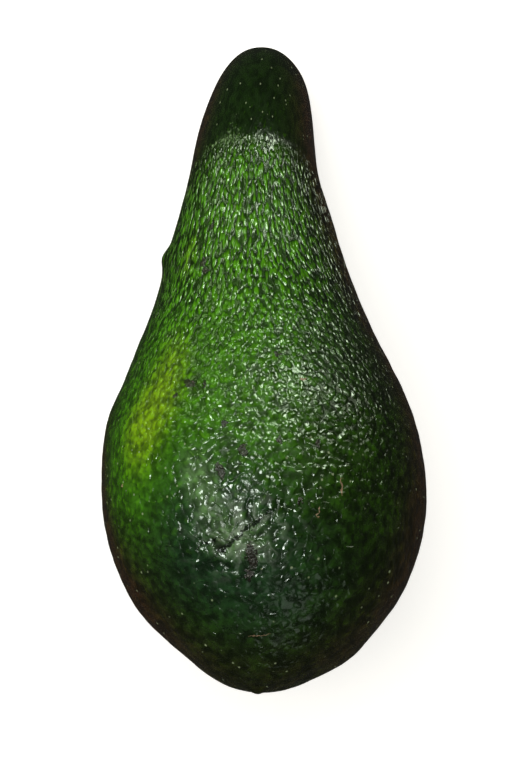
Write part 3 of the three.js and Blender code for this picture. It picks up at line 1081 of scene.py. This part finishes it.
# Lights: name, where from, distance in metres, width and height in metres, power in watts and colour, and
# whether it lights surfaces. The others are panels that show in their gloss alone.
LIGHTS = [
    ("overhead_soft", (-0.30, 0.20, 0.93), 1.6, 3.0, 3.0, 46.0, "#fffaf2", True),
    ("window_behind", (0.27, 0.82, 0.50), 1.3, 0.46, 0.32, 15.5, "#e8fbdc", False),
    ("window_right", (0.70, 0.66, 0.28), 1.3, 0.44, 0.36, 2.5, "#eaf6d8", False),
    ("window_left", (-0.57, 0.80, 0.20), 1.3, 0.44, 0.34, 3.4, "#d4ffb0", False),
    ("ceiling_lamp", (-0.32, -0.16, 0.94), 1.3, 0.38, 0.30, 17.0, "#f4fff4", False),
    ("doorway", (0.25, -0.85, 0.45), 1.3, 0.60, 0.40, 1.0, "#ecffec", False),
]


def aim(target, direction, distance):
    """Place and turn of something that looks at a target from a direction."""
    back = Vector(direction).normalized()
    turn = (-back).to_track_quat("-Z", "Y").to_matrix().to_4x4()
    return Matrix.Translation(target + back * distance) @ turn


class AVOCADO_OT_stage(bpy.types.Operator):
    """Makes the floor, the lights and the camera"""

    bl_idname = "avocado.stage"
    bl_label = "Make Stage"

    def execute(self, context):
        settings = context.scene.avocado_stage
        scene = context.scene
        start_piece()
        bpy.ops.mesh.primitive_plane_add(size=settings.floor_size, location=(0, 0, 0))
        floor = context.object
        floor.name = "floor"
        floor.data.materials.append(floor_material(settings))
        floor.visible_glossy = False

        for name, direction, distance, width, height, power, colour, lit in LIGHTS:
            lamp = bpy.data.lights.new(name, "AREA")
            lamp.shape = "RECTANGLE"
            lamp.size = width
            lamp.size_y = height
            lamp.energy = power
            lamp.color = linear(colour)[:3]
            light = bpy.data.objects.new(name, lamp)
            light.matrix_world = aim(LOOK_AT, direction, distance)
            light.visible_diffuse = lit
            light.visible_glossy = not lit
            scene.collection.objects.link(light)

        world = bpy.data.worlds.new("studio")
        world.use_nodes = True
        background = world.node_tree.nodes["Background"]
        background.inputs["Color"].default_value = (1, 1, 1, 1)
        background.inputs["Strength"].default_value = settings.glow
        scene.world = world

        lens = bpy.data.cameras.new("camera")
        lens.sensor_width = CAMERA_SENSOR
        lens.lens = CAMERA_LENS
        lens.clip_start = 0.01
        camera = bpy.data.objects.new("camera", lens)
        away = CAMERA_PLACE - LOOK_AT
        camera.matrix_world = aim(LOOK_AT, away, away.length)
        scene.collection.objects.link(camera)
        scene.camera = camera
        scene.view_settings.view_transform = "Standard"
        return {"FINISHED"}


# ---- Add-on ------------------------------------------------------------------------------------------------


class VIEW3D_PT_avocado(bpy.types.Panel):
    bl_idname = "VIEW3D_PT_avocado"
    bl_label = "Avocado"
    bl_space_type = "VIEW_3D"
    bl_region_type = "UI"
    bl_category = "Avocado"

    def draw(self, context):
        layout = self.layout
        for operator, group in (
            (AVOCADO_OT_rind, "avocado_rind"),
            (AVOCADO_OT_stump, "avocado_stump"),
            (AVOCADO_OT_stage, "avocado_stage"),
        ):
            box = layout.box()
            box.operator(operator.bl_idname)
            settings = getattr(context.scene, group)
            for name in settings.__annotations__:
                box.prop(settings, name)


CLASSES = (
    AvocadoRindSettings,
    AvocadoStumpSettings,
    AvocadoStageSettings,
    AVOCADO_OT_rind,
    AVOCADO_OT_stump,
    AVOCADO_OT_stage,
    VIEW3D_PT_avocado,
)


def register():
    for each in CLASSES:
        bpy.utils.register_class(each)
    bpy.types.Scene.avocado_rind = PointerProperty(type=AvocadoRindSettings)
    bpy.types.Scene.avocado_stump = PointerProperty(type=AvocadoStumpSettings)
    bpy.types.Scene.avocado_stage = PointerProperty(type=AvocadoStageSettings)


def unregister():
    del bpy.types.Scene.avocado_rind
    del bpy.types.Scene.avocado_stump
    del bpy.types.Scene.avocado_stage
    for each in reversed(CLASSES):
        bpy.utils.unregister_class(each)


def main():
    register()
    bpy.ops.avocado.rind()
    bpy.ops.avocado.stump()
    bpy.ops.avocado.stage()


if __name__ == "__main__":
    main()
